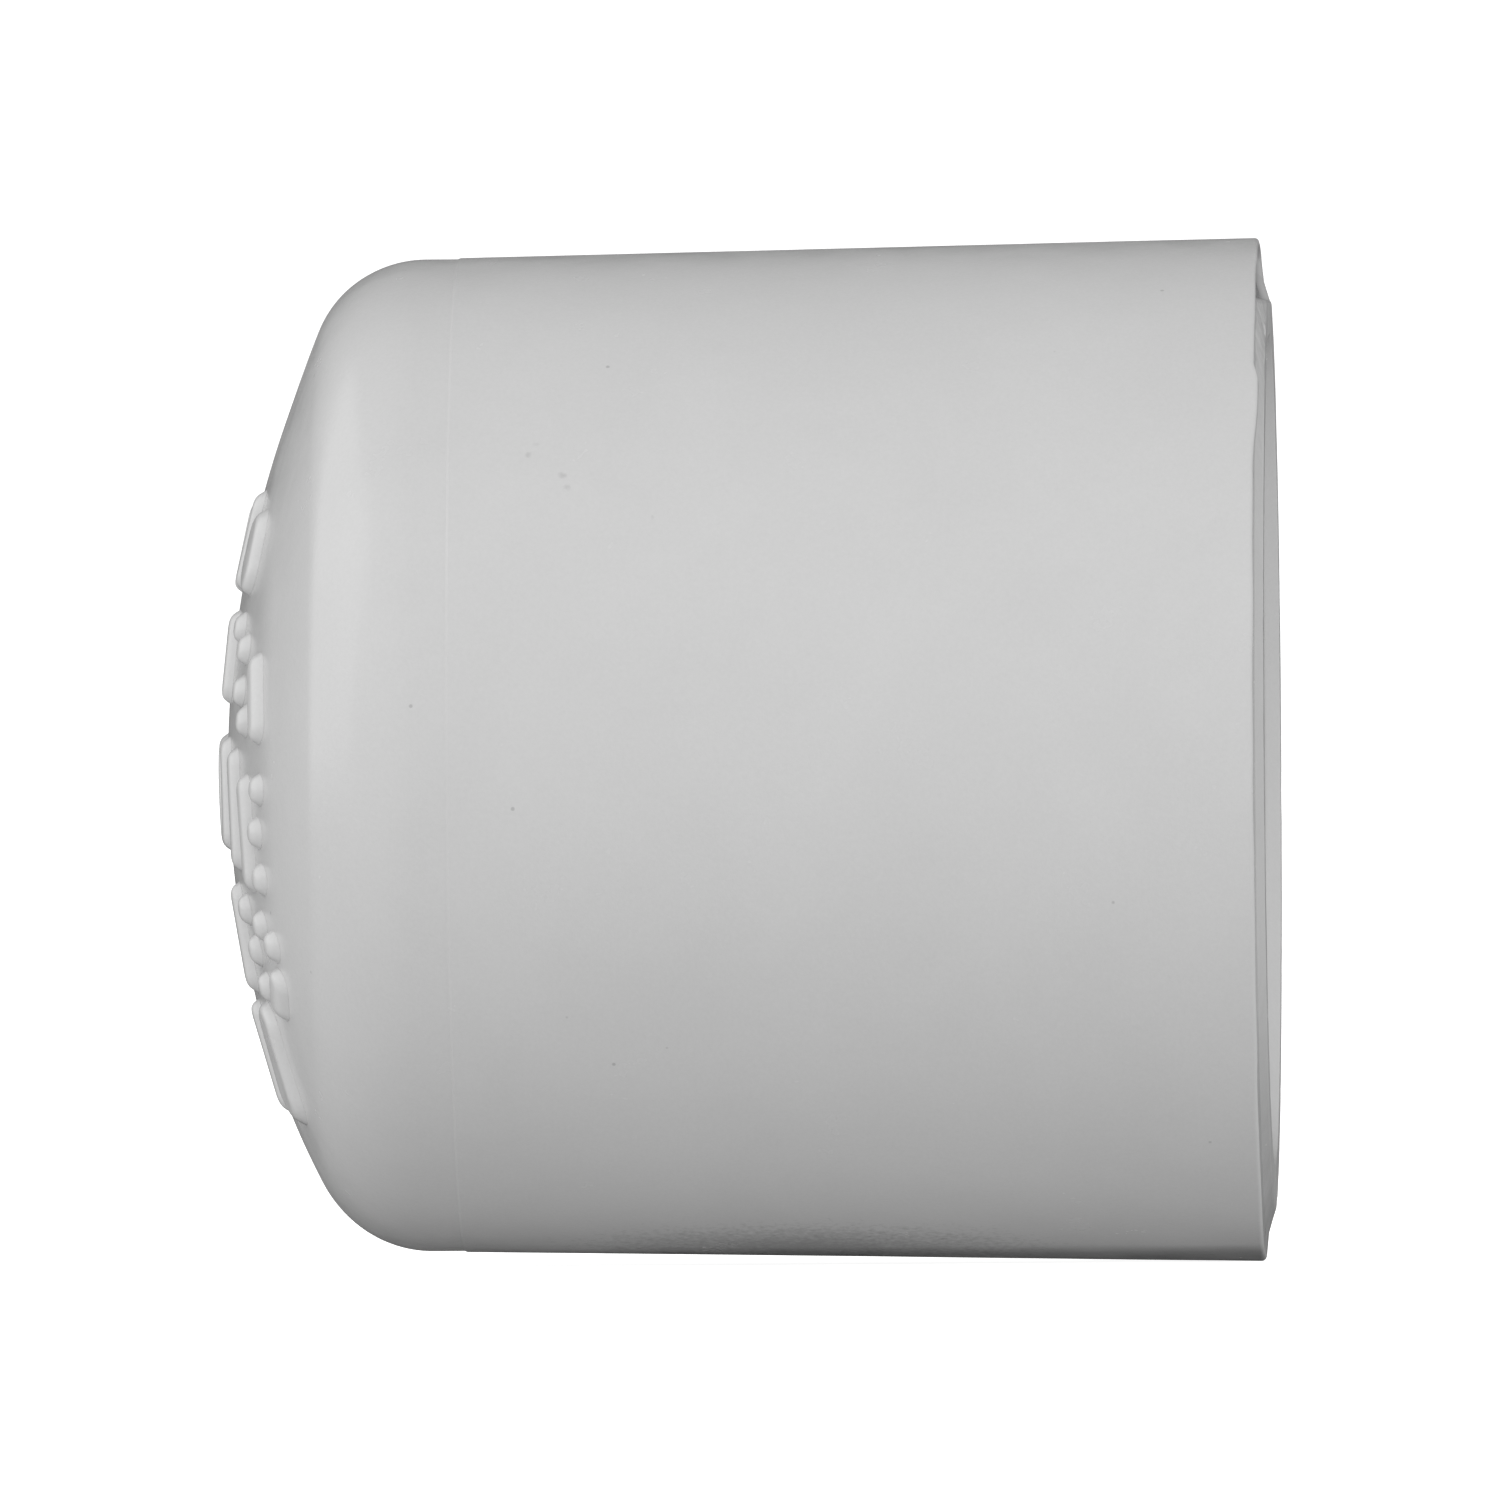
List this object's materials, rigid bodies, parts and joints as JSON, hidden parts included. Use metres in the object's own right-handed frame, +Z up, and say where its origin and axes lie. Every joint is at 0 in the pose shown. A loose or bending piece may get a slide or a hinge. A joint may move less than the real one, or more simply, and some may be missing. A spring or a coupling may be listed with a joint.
{
  "type": "slip pipe cap",
  "caption": "Round slip cap that closes the end of a half-inch plastic pipe: open socket at one end, domed crown with raised marks at the other.",
  "frame": {"origin": "on the cap's axis, in the plane of the mouth's lip", "axes": "+X along the cap's axis out of the mouth, the crown towards -X, +Z up"},
  "size_m": [0.0283, 0.0274, 0.0274],
  "materials": {
    "grey_pvc": "light grey rigid PVC, as moulded, semi-matte"
  },
  "bodies": {
    "root": {"cap_shell": "grey_pvc", "mark_row_top": "grey_pvc", "mark_row_upper": "grey_pvc", "mark_row_middle": "grey_pvc", "mark_row_lower": "grey_pvc", "mark_row_bottom": "grey_pvc"}
  },
  "joints": []
}
